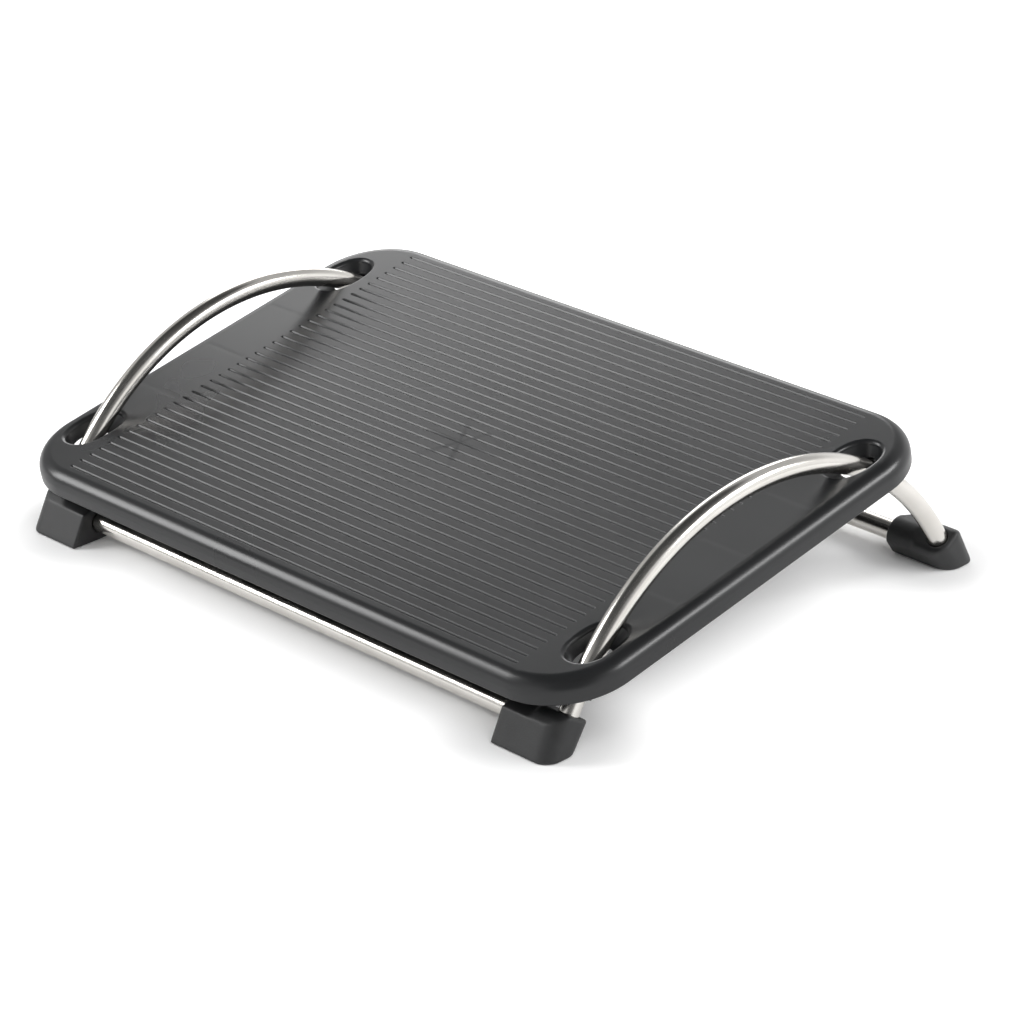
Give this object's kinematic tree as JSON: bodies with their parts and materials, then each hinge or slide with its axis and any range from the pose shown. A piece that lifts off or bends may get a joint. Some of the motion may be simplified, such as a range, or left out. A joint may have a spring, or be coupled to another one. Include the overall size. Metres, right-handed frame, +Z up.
{
  "type": "tilting footrest",
  "caption": "Tilting under-desk footrest: a grooved moulded plate that rocks along two arched steel tubes joined by cross tubes and moulded feet.",
  "frame": {"origin": "on the floor under the middle of the footrest", "axes": "+Z up, +X along the cross tubes to the right, the front edge of the plate at -Y"},
  "size_m": [0.508, 0.3828, 0.1221],
  "materials": {
    "plate_plastic": "satin moulded",
    "foot_plastic": "fine texture",
    "guide_plastic": "moulded",
    "liner_plastic": "natural",
    "polished_steel": "satin polished",
    "zinc_steel": "zinc plated",
    "pad_rubber": "matte"
  },
  "bodies": {
    "frame": {"arch_tube_left": "polished_steel", "arch_tube_right": "polished_steel", "cross_tube_front": "polished_steel", "cross_tube_rear": "polished_steel", "foot_front_left": "foot_plastic", "foot_pad_front_left": "pad_rubber", "arch_plug_front_left": "guide_plastic", "cross_plug_front_left": "guide_plastic", "arch_screw_front_left": "zinc_steel", "cross_screw_front_left": "zinc_steel", "foot_front_right": "foot_plastic", "foot_pad_front_right": "pad_rubber", "arch_plug_front_right": "guide_plastic", "cross_plug_front_right": "guide_plastic", "arch_screw_front_right": "zinc_steel", "cross_screw_front_right": "zinc_steel", "foot_rear_left": "foot_plastic", "foot_pad_rear_left": "pad_rubber", "arch_plug_rear_left": "guide_plastic", "cross_plug_rear_left": "guide_plastic", "arch_screw_rear_left": "zinc_steel", "cross_screw_rear_left": "zinc_steel", "foot_rear_right": "foot_plastic", "foot_pad_rear_right": "pad_rubber", "arch_plug_rear_right": "guide_plastic", "cross_plug_rear_right": "guide_plastic", "arch_screw_rear_right": "zinc_steel", "cross_screw_rear_right": "zinc_steel"},
    "footplate": {"footplate": "plate_plastic", "guide_block_front_left": "guide_plastic", "glide_liner_front_left": "liner_plastic", "guide_screw_front_left_inner": "zinc_steel", "guide_screw_front_left_outer": "zinc_steel", "guide_block_front_right": "guide_plastic", "glide_liner_front_right": "liner_plastic", "guide_screw_front_right_inner": "zinc_steel", "guide_screw_front_right_outer": "zinc_steel", "guide_block_rear_left": "guide_plastic", "glide_liner_rear_left": "liner_plastic", "guide_screw_rear_left_inner": "zinc_steel", "guide_screw_rear_left_outer": "zinc_steel", "guide_block_rear_right": "guide_plastic", "glide_liner_rear_right": "liner_plastic", "guide_screw_rear_right_inner": "zinc_steel", "guide_screw_rear_right_outer": "zinc_steel"}
  },
  "joints": [
    {"name": "footplate_tilt", "type": "hinge", "parent": "frame", "child": "footplate", "pos_m": [0, 0, -0.0724], "axis": [-1, 0, 0], "range_deg": [-3.42, 25.52]}
  ]
}
